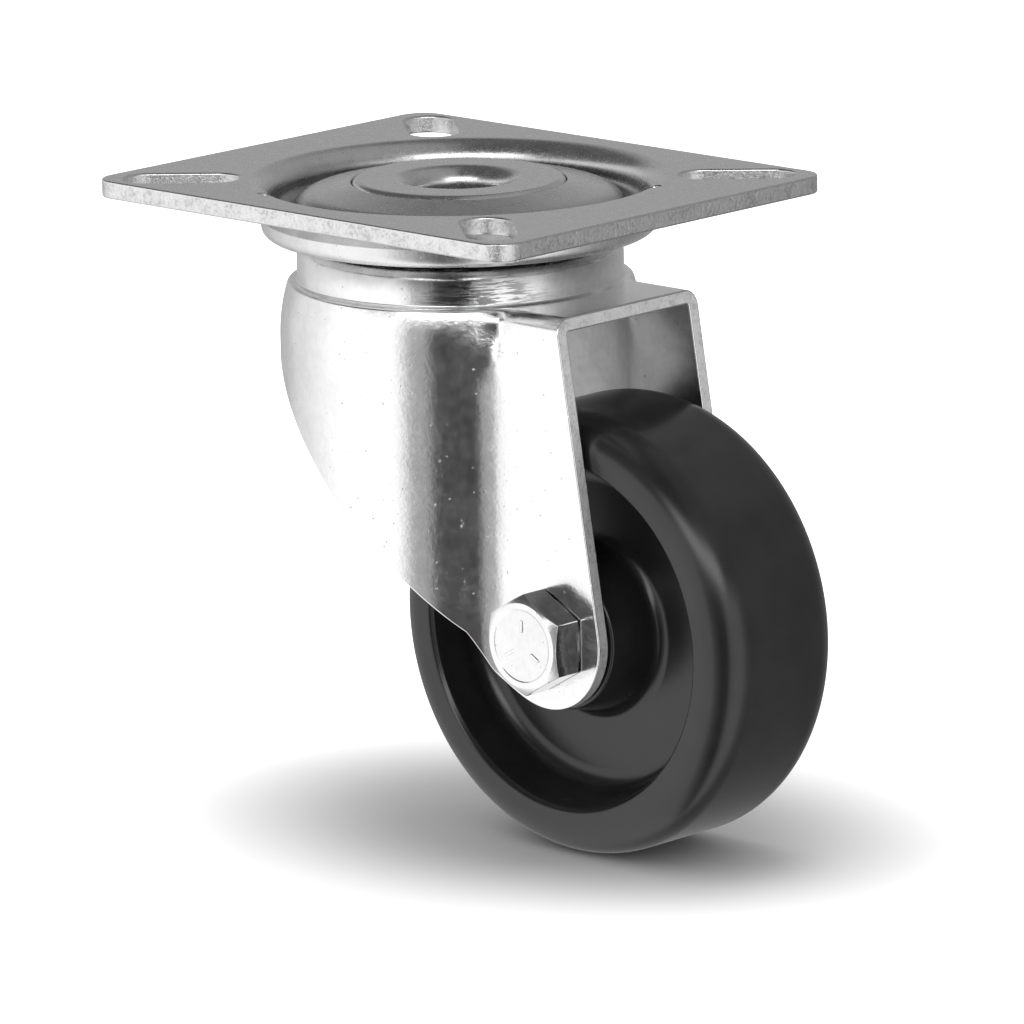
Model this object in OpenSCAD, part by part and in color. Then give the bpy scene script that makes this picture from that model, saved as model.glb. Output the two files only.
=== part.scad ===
// Swivel castor with a pressed mounting plate, a two-row ball swivel head,
// a one-piece pressed fork and a moulded wheel that turns on a sleeve round a bolted axle.
// Frame: the origin is the centre of the plate's mounting face, on the swivel axis.
// +Z points up, into what the castor carries. The wheel trails to +X, and the axle runs along Y.

/* [Mounting plate] */
// Length of the plate along X
plate_l = 100; // [96:1:120]
// Width of the plate along Y
plate_w = 85; // [83:1:100]
// Thickness of the plate's sheet
plate_t = 3.2; // [2.8:0.1:3.8]
// Radius of the plate's corners
plate_corner_r = 5; // [3:0.5:8]
// Width of each mounting slot
slot_w = 9; // [7:0.5:10]
// Distance from an end of the plate to the slot centres
slot_edge_x = 12.5; // [11.5:0.5:13]
// Distance from a side of the plate to the slot centres
slot_edge_y = 10.5; // [9.5:0.5:11]
// Least width of flat metal between a slot and the channel's rolled edge
slot_web = 1.45; // [1:0.05:4]
// Distance from a slot's outer end out to the plate's square corner
slot_corner_web = 5.977; // [5:0.001:8]

/* [Pressed bead of the plate] */
// Width of the bead under the plate, over both of its walls
bead_w = 8.025; // [7.4:0.005:8.3]
// Drop of the bead's lowest point below the mounting face
bead_depth = 9.9; // [9:0.1:10.2]
// Rounding of the bead's outer lower edge
bead_outer_round = 2; // [1:0.1:2.4]
// Rounding of the bead's inner lower edge
bead_inner_round = 1.8; // [1:0.1:2]
// Rounding between the bead and the underside of the plate
bead_root_round = 1.5; // [0.8:0.1:1.8]
// Thickness of the bead's upright walls, which the press has drawn thin
bead_wall_t = 1.8; // [1.5:0.1:2.2]
// Depth of the channel in the plate's top
channel_depth = 6.5; // [5.5:0.1:7]
// Radius over which the flat border rolls into the channel
channel_flare_r = 4; // [2:0.1:4.2]
// Drop of the raised centre below the mounting face, at the rivet's seat
centre_drop = 0.55; // [0.3:0.05:0.9]
// Further drop of the raised centre from the seat out to its edge
centre_fall = 1.9; // [1:0.1:2.2]
// Width and height of the raised centre's bevelled edge
centre_bevel = 1.5; // [0.8:0.1:1.8]
// Drop of the centre's underside below the underside of the border
race_drop = 1.8; // [1.5:0.1:2.2]
// Distance from the bead's outer wall out to the centres of the two small coined marks
coin_out = 1.1; // [0.6:0.1:1.6]
// Radius of a coined mark
coin_r = 1.5; // [1:0.1:2]
// Depth of a coined mark below the mounting face
coin_depth = 0.75; // [0.6:0.05:1]
// Directions of the two coined marks, in degrees from +X
coin_angles = [23, 245];

/* [Swivel head] */
// Diameter of the bearing balls
ball_d = 6.35; // [5.5:0.05:6.5]
// Running clearance between a ball and each of its two tracks
ball_clearance = 0.05; // [0.02:0.01:0.1]
// Least distance between neighbouring balls of a ring
ball_spacing = 0.25; // [0.1:0.05:0.5]
// Depth to which each ball track is pressed
track_depth = 0.3; // [0.2:0.05:0.5]
// Radius of the circle on which the upper balls run
upper_pitch_r = 23.4; // [22.5:0.1:23.8]
// Distance by which the lower balls run nearer to the swivel axis
pitch_step = 0.9; // [0.5:0.1:1.2]
// Gap between the upper balls and the bead's inner wall
bead_ball_gap = 0.7; // [0.4:0.1:0.9]
// Bore radius of the hollow king rivet
rivet_bore_r = 8.7; // [8:0.1:9]
// Wall of the king rivet's tube
rivet_wall = 2.9; // [2.4:0.1:3.2]
// Radius of the king rivet's upper flange
rivet_flange_r = 19.05; // [17:0.05:19.5]
// Thickness of the king rivet's upper flange
rivet_flange_t = 1.9; // [1.5:0.1:2.2]
// Rounding of the flange's edge
rivet_edge_round = 0.5; // [0.3:0.1:0.8]
// Gap between the flange and the wall of its seat
seat_gap = 0.15; // [0.1:0.05:0.3]
// Depth of the flange's face below the mounting face
rivet_inset = 0.1; // [0.05:0.05:0.3]
// Rounding of the bore's mouth
rivet_mouth_r = 3.25; // [2:0.05:3.5]
// Distance by which the rivet's lower end is spread past its tube
rivet_foot_w = 3; // [2:0.1:3.4]
// Thickness of the rivet's spread lower end
rivet_foot_t = 1.8; // [1.4:0.1:2]
// Gap between the rivet and what is threaded on it
rivet_gap = 0.03; // [0.02:0.01:0.05]
// Gap between the rivet's tube and the turning crown
crown_gap = 0.9; // [0.5:0.1:1.2]
// Gap between the lower race and the inside of the neck
race_gap = 1.2; // [0.8:0.1:1.6]
// Thickness of the lower race
race_t = 2.5; // [2.2:0.1:2.8]
// Height of the lower race's raised centre
race_dish = 2; // [1.6:0.1:2.4]
// Distance from the lower balls' circle in to the edge of the raised centre's flat
race_land_in = 5.7; // [5.5:0.1:6.3]
// Slope of the wall round the lower race's raised centre, in degrees
race_slope = 45; // [42:1:60]

/* [Fork] */
// Thickness of the fork's sheet
sheet_t = 2.5; // [2.2:0.1:2.8]
// Distance from the upper balls' circle out to the outside of the round neck
neck_out = 5.7; // [5.4:0.1:6.2]
// Rounding of the neck's upper edge
neck_round = 3; // [2:0.1:3.4]
// Height of the neck, from its crown down to the shoulder
neck_h = 7.15; // [6.6:0.05:8]
// Distance by which the round shell behind the wheel stands out past the neck
shell_out = 3.2; // [2.7:0.1:3.9]
// Height over which the shell swells from the shoulder to its full radius
shell_swell_h = 10; // [7:0.5:11]
// Drop of the shell's rear edge below the shoulder
skirt_h = 10; // [7:0.5:14]
// Rounding where the rear edge turns into the sloping edge
skirt_round = 14; // [6:1:18]
// Angle between the floor and the fork's sloping lower edge
slope_angle = 44.4; // [43:0.2:47]
// Distance from the axle back to the knee in the sloping edge
knee_back = 14.4; // [13.6:0.1:16]
// Radius of the ears round the axle
ear_r = 12.6; // [11.5:0.1:13.2]
// Reach of the fork's flat shelf past the axle
shelf_reach = 3.4; // [1.5:0.1:7]
// Outer radius of the bends between the shelf and the ears
bend_r = 3; // [2.9:0.1:4]
// Rounding of the hollow corners between the shell and the ears
corner_r = 2; // [1:0.1:3]

/* [Wheel] */
// Diameter of the wheel
wheel_d = 80; // [76:1:84]
// Width of the tread
wheel_w = 30; // [28:0.5:31]
// Distance by which each face of the hub stands out past the tread
hub_stand = 0.25; // [0.25:0.05:0.8]
// Rounding of the tread's edges
tread_round = 6.6; // [5:0.1:7]
// Wall of the hub at its face
hub_wall = 5.44; // [4:0.02:6]
// Distance by which the hub widens from its face to the web
hub_taper = 2.2; // [1:0.1:2.6]
// Thickness of the web between the hub and the rim
web_t = 10; // [7:0.5:12]
// Wall of the rim at its face
rim_wall = 7.2; // [7.1:0.1:9]
// Distance by which the rim thickens from its face to the web
rim_taper = 3.2; // [1.5:0.1:4]
// Rounding at both sides of the web
web_round = 2.5; // [1.5:0.1:3]
// Width of the narrow bevel at the rim's inner edge
rim_bevel_w = 1.4; // [0.8:0.1:1.8]

/* [Axle] */
// Length of flat ear between the shell's hollow corner and the axle
axle_flat = 8.9; // [8.5:0.1:11]
// Height of the whole castor, from the mounting face to the floor
overall_h = 115.5; // [114:0.5:122]
// Diameter of the axle bolt
bolt_d = 10; // [8:0.5:10.5]
// Length of the axle bolt that stands out of the nut
bolt_reach = 3.5; // [2:0.1:7]
// Width across the flats of the bolt's head and of the nut
hex_af = 16; // [15.5:0.1:17]
// Height of the bolt's head
bolt_head_h = 6.4; // [5.8:0.1:7]
// Thickness of the round face under the bolt's head
washer_face_t = 0.4; // [0.3:0.1:0.6]
// Slope of the bevels on the corners of the bolt's head and of the nut, in degrees
hex_bevel_angle = 30; // [20:1:35]
// Step from the flats in to the round face that such a bevel leaves
hex_bevel_step = 0.4; // [0.2:0.1:0.8]
// Length of the bevel at the bolt's end
bolt_bevel = 1; // [0.6:0.1:1.4]
// Height of the lock nut
nut_h = 10; // [9:0.5:11]
// Height of the hexagon of the lock nut
nut_hex_h = 7; // [6:0.5:8]
// Step from the nut's flats in to its round collar
collar_step = 0.6; // [0.3:0.1:0.8]
// Length of the bevel at the collar's end
collar_bevel = 0.8; // [0.4:0.1:0.9]
// Wall of the round collar that holds the nut's insert
collar_wall = 0.9; // [0.7:0.1:1.1]
// Thickness of the lip that the collar turns in over the insert
insert_lip = 0.2; // [0.15:0.05:0.4]
// Height of the nut's insert
insert_h = 2.2; // [1.8:0.1:2.4]
// Wall of the axle sleeve
sleeve_wall = 2.4; // [1.8:0.1:2.6]
// Clearance of the bolt in the sleeve
bolt_clearance = 0.1; // [0.05:0.05:0.2]
// Clearance of the bolt in the ears
ear_clearance = 0.2; // [0.1:0.05:0.4]
// Radial running clearance of the wheel on its sleeve
bore_clearance = 0.06; // [0.03:0.01:0.1]
// Side play of the hub at each ear
side_play = 0.5; // [0.3:0.1:0.8]
// Clearance of the nut and its insert round the bolt
thread_clearance = 0.03; // [0.02:0.01:0.05]

/* [Hidden] */
$fn = 96;
// Past this much, a cutting shape runs clear of what it cuts
over = 1;
// This far inside a circle, an edge that runs up to it ends, so that the two cross cleanly
bite = 0.02;
// Least rounding that the press leaves inside a bend
least_round = 0.5;
ball_r = ball_d / 2;
bolt_r = bolt_d / 2;
wheel_r = wheel_d / 2;

// Levels of the swivel head, from the mounting face down
seat_z = -rivet_inset - rivet_flange_t;
border_under_z = -plate_t;
centre_under_z = border_under_z - race_drop;
upper_ball_z = centre_under_z + track_depth - ball_clearance - ball_r;
crown_z = upper_ball_z - ball_r - ball_clearance + track_depth;
crown_under_z = crown_z - sheet_t;
lower_ball_z = crown_under_z + track_depth - ball_clearance - ball_r;
race_z = lower_ball_z - ball_r - ball_clearance + track_depth;
race_under_z = race_z - race_t;
land_z = race_z + race_dish;
land_under_z = land_z - race_t;
foot_z = land_under_z - rivet_foot_t;
shoulder_z = crown_z - neck_h;
shoulder_under_z = shoulder_z - sheet_t;
shell_z = shoulder_z - shell_swell_h;
skirt_z = shoulder_z - skirt_h;
axle_z = wheel_r - overall_h;

// Radii of the swivel head
lower_pitch_r = upper_pitch_r - pitch_step;
track_r = ball_r + ball_clearance;
seat_r = rivet_flange_r + seat_gap;
rivet_tube_r = rivet_bore_r + rivet_wall;
rivet_foot_r = rivet_tube_r + rivet_foot_w;
mouth_r = rivet_bore_r + rivet_mouth_r;
crown_hole_r = rivet_tube_r + crown_gap;
neck_r = upper_pitch_r + neck_out;
race_r = neck_r - sheet_t - race_gap;
race_land_r = lower_pitch_r - race_land_in;

// Radii of the plate's bead and channel
bead_in_r = upper_pitch_r + ball_r + bead_ball_gap;
bead_r = bead_in_r + bead_w;
channel_in_r = bead_in_r + bead_wall_t;
channel_out_r = bead_r - bead_wall_t;
channel_round = (channel_out_r - channel_in_r) / 2;
channel_edge_r = channel_out_r + channel_flare_r;

// Each slot lies on a line out from the swivel axis, and ends short of the channel and of the corner
slot_at = [plate_l / 2 - slot_edge_x, plate_w / 2 - slot_edge_y];
slot_near_r = channel_edge_r + slot_web;
slot_far_r = norm([plate_l, plate_w]) / 2 - slot_corner_web;

// The fork, across the axle
hub_w = wheel_w + 2 * hub_stand;
sleeve_l = hub_w + 2 * side_play;
ear_in_y = sleeve_l / 2;
ear_y = ear_in_y + sheet_t;
bend_in_r = bend_r - sheet_t;
shell_r = neck_r + shell_out;
corner_at = [sqrt(pow(shell_r + corner_r, 2) - pow(ear_y + corner_r, 2)), ear_y + corner_r];
trail = corner_at[0] + axle_flat;
shelf_x = trail + shelf_reach;
axle_at = [trail, axle_z];
knee_at = [trail - knee_back, axle_z];
front_at = [shelf_x, shoulder_z];
skirt_at = [knee_at[0] - (skirt_z - knee_at[1]) / tan(slope_angle), skirt_z];
fork_back_x = -shell_r - over;
fork_front_x = max(shelf_x, trail + ear_r) + over;

// The axle
sleeve_in_r = bolt_r + bolt_clearance;
sleeve_r = sleeve_in_r + sleeve_wall;
wheel_bore_r = sleeve_r + bore_clearance;
hub_r = wheel_bore_r + hub_wall;
hub_root_r = hub_r + hub_taper;
rim_r = wheel_r - rim_wall;
rim_root_r = rim_r - rim_taper;
bolt_l = 2 * ear_y + nut_h + bolt_reach;
nut_bore_r = bolt_r + thread_clearance;
collar_r = hex_af / 2 - collar_step;
insert_r = collar_r - collar_wall;
insert_top = ear_y + nut_h - insert_lip;
hex_r = hex_af / sqrt(3);
hex_face_r = hex_af / 2 - hex_bevel_step;
hex_bevel_h = (hex_r + over - hex_face_r) * tan(hex_bevel_angle);

// How many balls fill each ring
function ring_count(pitch_r) = floor(180 / asin((ball_d + ball_spacing) / 2 / pitch_r));
upper_count = ring_count(upper_pitch_r);
lower_count = ring_count(lower_pitch_r);

function ball_name(ring, i) = str(ring, "_ball_", i < 9 ? "0" : "", i + 1);
upper_names = [for (i = [0:upper_count - 1]) ball_name("upper", i)];
lower_names = [for (i = [0:lower_count - 1]) ball_name("lower", i)];

// Point where a line from `from` touches a circle: side is 1 or -1
function touch(from, centre, r, side) =
    let (d = from - centre, a = atan2(d[1], d[0]) + side * acos(r / norm(d)))
    centre + r * [cos(a), sin(a)];

// Turns a profile of radius and height round the swivel axis
module turned() {
    rotate_extrude() children();
}

// Lays a shape made along +Z on the axle's line, pointing to +Y
module along_axle() {
    translate([trail, 0, axle_z]) rotate([-90, 0, 0]) children();
}

// Rectangle between two corners
module box2(low, high) {
    translate(low) square(high - low);
}

// The corner outside a quarter circle, for rolling an edge or filling a root
// At is the circle's centre, and dir says which way the corner lies
module quarter_corner(at, r, dir) {
    translate(at) difference() {
        box2([min(0, dir[0]) * r, min(0, dir[1]) * r], [max(0, dir[0]) * r, max(0, dir[1]) * r]);
        circle(r);
    }
}

module ball_track(pitch_r, z) {
    translate([pitch_r, z]) circle(track_r);
}

// Mounting plate

module plate_outline() {
    x = plate_l / 2 - plate_corner_r;
    y = plate_w / 2 - plate_corner_r;
    box2([-plate_l / 2, -y], [plate_l / 2, y]);
    box2([-x, -plate_w / 2], [x, plate_w / 2]);
    for (sx = [-1, 1], sy = [-1, 1]) translate([sx * x, sy * y]) circle(plate_corner_r);
}

// One slot, which points at the swivel axis
module slot_outline(sx, sy) {
    near = slot_near_r + slot_w / 2;
    far = slot_far_r - slot_w / 2;
    rotate(atan2(sy * slot_at[1], sx * slot_at[0])) {
        box2([near, -slot_w / 2], [far, slot_w / 2]);
        for (x = [near, far]) translate([x, 0]) circle(slot_w / 2);
    }
}

// Section of the metal that the press pushes below the border
module bead_section() {
    outer_c = bead_r - bead_outer_round;
    inner_c = bead_in_r + bead_inner_round;
    root = [bead_r + bead_root_round, border_under_z - bead_root_round];
    box2([0, centre_under_z], [bead_r, border_under_z + over]);
    box2([bead_in_r, bead_inner_round - bead_depth], [inner_c, border_under_z]);
    box2([inner_c, -bead_depth], [outer_c, border_under_z]);
    box2([outer_c, bead_outer_round - bead_depth], [bead_r, border_under_z]);
    translate([inner_c, bead_inner_round - bead_depth]) circle(bead_inner_round);
    translate([outer_c, bead_outer_round - bead_depth]) circle(bead_outer_round);
    quarter_corner(root, bead_root_round, [-1, 1]);
}

// Section of the hollow in the plate's top: the channel, the lowered centre and the rivet's seat
module channel_section() {
    edge_z = -centre_drop - centre_fall;
    flare = [channel_edge_r, -channel_flare_r];
    box2([channel_in_r, channel_round - channel_depth], [channel_out_r, over]);
    translate([channel_in_r + channel_round, channel_round - channel_depth]) circle(channel_round);
    quarter_corner(flare, channel_flare_r, [-1, 1]);
    polygon([
        [0, over],
        [0, -centre_drop],
        [seat_r, -centre_drop],
        [channel_in_r - centre_bevel, edge_z],
        [channel_in_r, edge_z - centre_bevel],
        [channel_in_r, over]
    ]);
    box2([0, seat_z], [seat_r, over]);
}

module top_plate() {
    color("Gainsboro") difference() {
        union() {
            translate([0, 0, border_under_z]) linear_extrude(plate_t) difference() {
                plate_outline();
                for (sx = [-1, 1], sy = [-1, 1]) slot_outline(sx, sy);
            }
            turned() bead_section();
        }
        turned() channel_section();
        turned() ball_track(upper_pitch_r, upper_ball_z);
        translate([0, 0, centre_under_z - over])
            cylinder(h = over - centre_under_z + over, r = rivet_tube_r + rivet_gap);
        for (a = coin_angles) rotate(a) translate([bead_r + coin_out, 0, -coin_depth])
            cylinder(h = coin_depth + over, r = coin_r);
    }
}

// Swivel head

module king_rivet() {
    spread_c = rivet_foot_r - rivet_foot_t / 2;
    foot_round = rivet_foot_t;
    edge_c = [rivet_flange_r - rivet_edge_round, -rivet_inset - rivet_edge_round];
    color("Silver") turned() difference() {
        union() {
            box2([0, seat_z], [edge_c[0], -rivet_inset]);
            box2([0, seat_z], [rivet_flange_r, edge_c[1]]);
            translate(edge_c) circle(rivet_edge_round);
            box2([0, foot_z], [rivet_tube_r, seat_z]);
            box2([0, foot_z], [spread_c, land_under_z]);
            translate([spread_c, (foot_z + land_under_z) / 2]) circle(rivet_foot_t / 2);
        }
        box2([-over, foot_z - over], [rivet_bore_r, over]);
        quarter_corner([mouth_r, -rivet_inset - rivet_mouth_r], rivet_mouth_r, [-1, 1]);
        quarter_corner([rivet_bore_r + foot_round, foot_z + foot_round], foot_round, [-1, -1]);
    }
}

module lower_race() {
    hole_r = rivet_tube_r + rivet_gap;
    under_r = race_land_r - race_t * tan(race_slope / 2);
    wall_w = race_dish / tan(race_slope);
    color("DarkGray") turned() difference() {
        polygon([
            [hole_r, land_z],
            [race_land_r, land_z],
            [race_land_r + wall_w, race_z],
            [race_r, race_z],
            [race_r, race_under_z],
            [under_r + wall_w, race_under_z],
            [under_r, land_under_z],
            [hole_r, land_under_z]
        ]);
        ball_track(lower_pitch_r, lower_ball_z);
    }
}

module ball(pitch_r, z, count, i) {
    color("LightSteelBlue") rotate(i * 360 / count) translate([pitch_r, 0, z]) sphere(ball_r);
}

// Fork: one sheet, drawn up into a crown and neck, and bent down into the shell and the ears

// The fork's outer form, or its hollow when inset by the sheet's thickness
module fork_form(inset, top_z, shelf_z, front_x, edge_round) {
    r_neck = neck_r - inset;
    r_shell = shell_r - inset;
    low_z = -overall_h;
    side = ear_y - inset;
    round_neck = max(neck_round - inset, least_round);
    turned() {
        box2([0, shelf_z - over], [r_neck - round_neck, top_z]);
        box2([0, shelf_z - over], [r_neck, top_z - round_neck]);
        translate([r_neck - round_neck, top_z - round_neck]) circle(round_neck);
        intersection() {
            translate([0, shell_z]) circle(r_shell);
            box2([0, shell_z], [r_shell, shelf_z]);
        }
        box2([0, low_z], [r_shell, shell_z]);
    }
    rotate([90, 0, 90]) linear_extrude(front_x) {
        box2([-side, low_z], [side, shelf_z - edge_round]);
        box2([edge_round - side, low_z], [side - edge_round, shelf_z]);
        for (s = [-1, 1]) translate([s * (side - edge_round), shelf_z - edge_round]) circle(edge_round);
    }
}

// Fills the hollow corners where the round shell runs into the flat ears
module shell_corners() {
    on_shell = corner_at * shell_r / (shell_r + corner_r);
    on_ear = [corner_at[0], ear_y];
    in_sheet = [corner_at[0] - corner_r, ear_y - sheet_t / 2];
    for (s = [0, 1]) mirror([0, s, 0]) translate([0, 0, -overall_h]) linear_extrude(overall_h + shell_z)
        difference() {
            polygon([on_shell, corner_at, on_ear, in_sheet]);
            translate(corner_at) circle(corner_r);
        }
}

// Side view of the fork: a polygon whose ends touch the round of the ears
module fork_side() {
    front = touch(front_at, axle_at, ear_r - bite, -1);
    heel = touch(knee_at, axle_at, ear_r - bite, 1);
    reach = skirt_round * tan(slope_angle / 2);
    skirt_c = [skirt_at[0] - reach, skirt_z - skirt_round];
    on_slope = skirt_at + reach * [cos(slope_angle), -sin(slope_angle)];
    difference() {
        union() {
            polygon([
                [fork_back_x, 0],
                [fork_back_x, skirt_z],
                [skirt_c[0], skirt_z],
                skirt_c,
                on_slope,
                knee_at,
                heel,
                axle_at,
                front,
                front_at,
                [shelf_x, 0]
            ]);
            translate(axle_at) circle(ear_r);
        }
        translate(skirt_c) circle(skirt_round);
    }
}

module swivel_fork() {
    color("WhiteSmoke") difference() {
        intersection() {
            difference() {
                union() {
                    fork_form(0, crown_z, shoulder_z, fork_front_x, bend_r);
                    shell_corners();
                }
                fork_form(sheet_t, crown_under_z, shoulder_under_z, fork_front_x + over, bend_in_r);
            }
            translate([0, shell_r + over, 0]) rotate([90, 0, 0])
                linear_extrude(2 * (shell_r + over)) fork_side();
        }
        translate([0, 0, crown_under_z - over]) cylinder(h = sheet_t + 2 * over, r = crown_hole_r);
        turned() ball_track(upper_pitch_r, upper_ball_z);
        turned() ball_track(lower_pitch_r, lower_ball_z);
        along_axle() translate([0, 0, -ear_y - over])
            cylinder(h = 2 * (ear_y + over), r = bolt_r + ear_clearance);
    }
}

// Wheel

// Hollow between hub and rim on one side of the web, as radius and distance from the middle
module web_hollow() {
    floor_y = web_t / 2;
    top_y = hub_w / 2 + over;
    centre_y = floor_y + web_round;
    bevel_y = wheel_w / 2 - rim_bevel_w;
    hub_a = atan((hub_root_r - hub_r) / (hub_w / 2 - floor_y));
    rim_a = atan((rim_r - rim_root_r) / (bevel_y - floor_y));
    hub_c = [hub_root_r - web_round * tan(hub_a) + web_round / cos(hub_a), centre_y];
    rim_c = [rim_root_r + web_round * tan(rim_a) - web_round / cos(rim_a), centre_y];
    polygon([
        [hub_r, hub_w / 2],
        hub_c - web_round * [cos(hub_a), sin(hub_a)],
        hub_c,
        rim_c,
        rim_c + web_round * [cos(rim_a), -sin(rim_a)],
        [rim_r, bevel_y],
        [wheel_r - tread_round, wheel_w / 2],
        [wheel_r - tread_round, top_y],
        [hub_r, top_y]
    ]);
    box2([hub_c[0], floor_y], [rim_c[0], centre_y]);
    translate(hub_c) circle(web_round);
    translate(rim_c) circle(web_round);
}

module wheel() {
    edge_r = wheel_r - tread_round;
    edge_y = wheel_w / 2 - tread_round;
    color("DimGray") along_axle() turned() difference() {
        union() {
            box2([0, -edge_y], [wheel_r, edge_y]);
            box2([0, -wheel_w / 2], [edge_r, wheel_w / 2]);
            for (s = [-1, 1]) translate([edge_r, s * edge_y]) circle(tread_round);
            box2([0, -hub_w / 2], [hub_r, hub_w / 2]);
        }
        box2([-over, -hub_w], [wheel_bore_r, hub_w]);
        web_hollow();
        mirror([0, 1]) web_hollow();
    }
}

// Axle

module axle_sleeve() {
    color("Silver") along_axle() turned()
        box2([sleeve_in_r, -sleeve_l / 2], [sleeve_r, sleeve_l / 2]);
}

// Hexagon bar with its corners along Z, from one height to another
module hex_bar(low, high) {
    translate([0, 0, low]) rotate(30) cylinder(h = high - low, r = hex_r, $fn = 6);
}

module axle_bolt() {
    head_low = -ear_y - bolt_head_h;
    face_low = -ear_y - washer_face_t;
    end = bolt_l - ear_y;
    color("LightGray") along_axle() {
        intersection() {
            hex_bar(head_low, face_low);
            turned() polygon([
                [0, head_low],
                [hex_face_r, head_low],
                [hex_r + over, head_low + hex_bevel_h],
                [hex_r + over, face_low],
                [0, face_low]
            ]);
        }
        turned() polygon([
            [0, face_low - over],
            [hex_face_r - over, face_low - over],
            [hex_face_r, face_low],
            [hex_face_r, -ear_y],
            [bolt_r, -ear_y],
            [bolt_r, end - bolt_bevel],
            [bolt_r - bolt_bevel, end],
            [0, end]
        ]);
    }
}

module lock_nut() {
    base = ear_y;
    hex_top = base + nut_hex_h;
    top = base + nut_h;
    color("Gray") along_axle() difference() {
        union() {
            intersection() {
                hex_bar(base, hex_top);
                turned() polygon([
                    [0, base],
                    [hex_face_r, base],
                    [hex_r + over, base + hex_bevel_h],
                    [hex_r + over, hex_top - hex_bevel_h],
                    [hex_face_r, hex_top],
                    [0, hex_top]
                ]);
            }
            turned() polygon([
                [0, hex_top - over],
                [collar_r, hex_top - over],
                [collar_r, top - collar_bevel],
                [collar_r - collar_bevel, top],
                [0, top]
            ]);
        }
        translate([0, 0, base - over]) cylinder(h = nut_h + 2 * over, r = nut_bore_r);
        translate([0, 0, insert_top - insert_h]) cylinder(h = insert_h, r = insert_r + thread_clearance);
    }
}

module lock_nut_insert() {
    low = insert_top - insert_h + thread_clearance;
    color("RoyalBlue") along_axle() turned()
        box2([nut_bore_r, low], [insert_r, insert_top - thread_clearance]);
}

top_plate();
king_rivet();
lower_race();
swivel_fork();
wheel();
axle_sleeve();
axle_bolt();
lock_nut();
lock_nut_insert();
for (i = [0:upper_count - 1])
    ball(upper_pitch_r, upper_ball_z, upper_count, i);
for (i = [0:lower_count - 1])
    ball(lower_pitch_r, lower_ball_z, lower_count, i);
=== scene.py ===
"""A swivel castor: zinc plated plate and pressed fork, and a moulded black wheel on a bolted axle."""

from itertools import product
from math import acos, asin, atan2, ceil, cos, floor, hypot, pi, radians, sin, sqrt, tan

import bpy
from mathutils import Matrix, Vector
from mathutils.geometry import delaunay_2d_cdt, normal


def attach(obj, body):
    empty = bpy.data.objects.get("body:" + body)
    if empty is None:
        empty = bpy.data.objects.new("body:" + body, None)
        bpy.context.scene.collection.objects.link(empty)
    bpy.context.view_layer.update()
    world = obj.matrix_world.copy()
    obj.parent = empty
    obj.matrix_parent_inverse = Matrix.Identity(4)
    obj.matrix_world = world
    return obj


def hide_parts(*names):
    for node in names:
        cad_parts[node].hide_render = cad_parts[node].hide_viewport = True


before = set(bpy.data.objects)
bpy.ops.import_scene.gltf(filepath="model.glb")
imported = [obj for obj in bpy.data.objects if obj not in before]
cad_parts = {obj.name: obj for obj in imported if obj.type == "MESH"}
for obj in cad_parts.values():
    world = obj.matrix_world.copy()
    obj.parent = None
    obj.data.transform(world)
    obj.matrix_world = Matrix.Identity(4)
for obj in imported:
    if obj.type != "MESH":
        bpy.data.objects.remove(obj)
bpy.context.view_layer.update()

# Lengths are in millimetres, and each mesh is scaled to metres when it is made
MM = 0.001

# Sheet of the plate, and sheet of the fork and of the lower race
PLATE_T, SHEET_T = 3.2, 2.5

# Border of the mounting plate. Each slot runs from SLOT_NEAR to SLOT_FAR on a line out through SLOT_AT
PLATE_L, PLATE_W, PLATE_CORNER_R = 100, 85, 5
SLOT_AT = (37.5, 32)
SLOT_NEAR, SLOT_FAR, SLOT_W, SLOT_END_STEPS = 38.95, 59.645, 9, 24
PLATE_EDGE_ROUND, SLOT_EDGE_ROUND = 0.35, 0.45

# Channel in the plate, the bead that it makes underneath, and the radius where the flat border ends
BEAD_IN_R, BEAD_R, BEAD_WALL = 27.275, 35.3, 1.8
CHANNEL_IN_R, CHANNEL_R = BEAD_IN_R + BEAD_WALL, BEAD_R - BEAD_WALL
CHANNEL_Z, BEAD_Z = -6.5, -9.9
FLAT_FROM_R = 38

# Raised centre of the plate, from the rivet's seat out to its bevelled edge
SEAT_R, SEAT_Z = 19.2, -2
CENTRE_Z, CENTRE_EDGE_Z, CENTRE_UNDER_Z = -0.55, -2.45, -5
CENTRE_BEVEL = 1.5

# Two small round marks coined into the channel's rolled edge, which lies above ROLLED_Z
COIN_ANGLES = (23, 245)
COIN_AT, COIN_R, COIN_Z = 36.4, 1.5, -0.75
COIN_WALL, COIN_SLOPE, COIN_REACH = 0.25, 3, 1.8
ROLLED_Z = -3
# The plate has extra corners beside each mark: this many to a side, this many degrees apart
COIN_TURNS, COIN_STEP = 24, 0.12

# Tracks of the two rings of balls
UPPER_PITCH_R, LOWER_PITCH_R = 23.4, 22.5
TRACK_W, TRACK_APEX, TRACK_ROUND = 2.716, 0.63, 3.1

# Lower race, with its raised centre, and the hole through what the rivet holds
RACE_R, RACE_Z, RACE_DISH = 25.4, -19.2, 2
LAND_R, LAND_UNDER_R = 16.8, 15.764
LAND_Z = RACE_Z + RACE_DISH
LAND_UNDER_Z = LAND_Z - SHEET_T
RIVET_HOLE_R = 11.63

# King rivet
RIVET_BORE_R, RIVET_TUBE_R, RIVET_FOOT_R, RIVET_FLANGE_R = 8.7, 11.6, 14.6, 19.05
RIVET_TOP_Z, RIVET_FOOT_Z = -0.1, LAND_UNDER_Z - 1.8

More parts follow.
